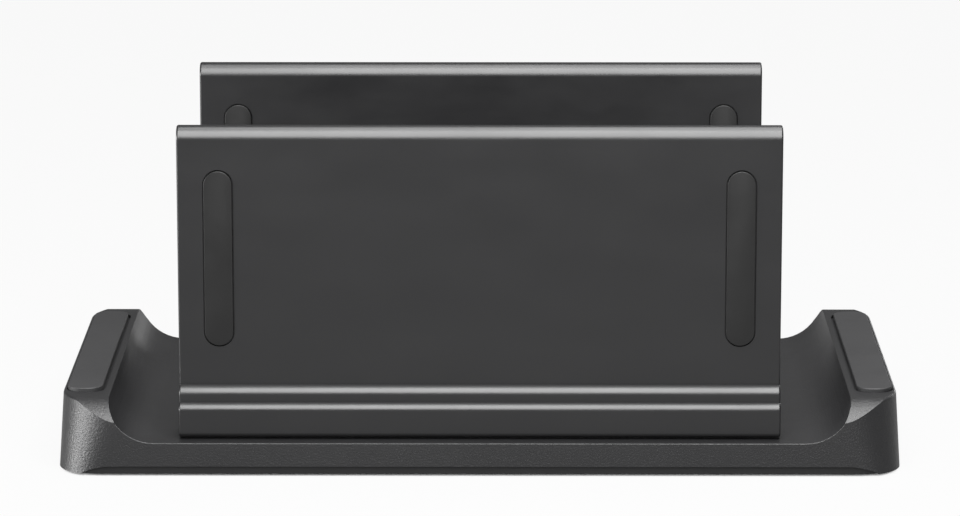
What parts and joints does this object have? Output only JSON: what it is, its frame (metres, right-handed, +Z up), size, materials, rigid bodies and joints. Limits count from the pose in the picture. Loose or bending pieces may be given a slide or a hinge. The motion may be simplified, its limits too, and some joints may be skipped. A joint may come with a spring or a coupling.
{
  "type": "mini pc holder",
  "caption": "Low padded desk base with two upright clamping plates that slide towards each other to hold a small computer on edge.",
  "frame": {"origin": "on the desk surface, under the centre of the base", "axes": "+X along the long side, to the right as seen from the front; -Y to the front; +Z up"},
  "size_m": [0.253, 0.1384, 0.1044],
  "materials": {
    "base_plastic": "fine moulded grain, dark grey",
    "support_metal": "fine satin coat over extruded aluminium, dark grey",
    "plate_steel": "satin coat, dark grey",
    "pad_rubber": "matt",
    "foot_rubber": "matt",
    "strip_rubber": "matt",
    "screw_steel": "plain zinc-plated",
    "washer_steel": "plain zinc-plated"
  },
  "bodies": {
    "base": {"base_shell": "base_plastic", "bottom_plate": "plate_steel", "bottom_plate_screws": "screw_steel", "left_rest_pad": "pad_rubber", "right_rest_pad": "pad_rubber", "foot_front_left": "foot_rubber", "foot_front_right": "foot_rubber", "foot_back_left": "foot_rubber", "foot_back_right": "foot_rubber"},
    "front_jaw": {"front_support": "support_metal", "front_outer_left_strip": "strip_rubber", "front_outer_right_strip": "strip_rubber", "front_inner_left_strip": "strip_rubber", "front_inner_right_strip": "strip_rubber", "front_left_clamp_screw": "screw_steel", "front_right_clamp_screw": "screw_steel", "front_left_washer": "washer_steel", "front_right_washer": "washer_steel"},
    "back_jaw": {"back_support": "support_metal", "back_outer_left_strip": "strip_rubber", "back_outer_right_strip": "strip_rubber", "back_inner_left_strip": "strip_rubber", "back_inner_right_strip": "strip_rubber", "back_left_clamp_screw": "screw_steel", "back_right_clamp_screw": "screw_steel", "back_left_washer": "washer_steel", "back_right_washer": "washer_steel"}
  },
  "joints": [
    {"name": "front_slide", "type": "slide", "parent": "base", "child": "front_jaw", "axis": [0, 1, 0], "range_m": [0, 0.03625]},
    {"name": "back_slide", "type": "slide", "parent": "base", "child": "back_jaw", "axis": [0, -1, 0], "range_m": [0, 0.03625]}
  ]
}
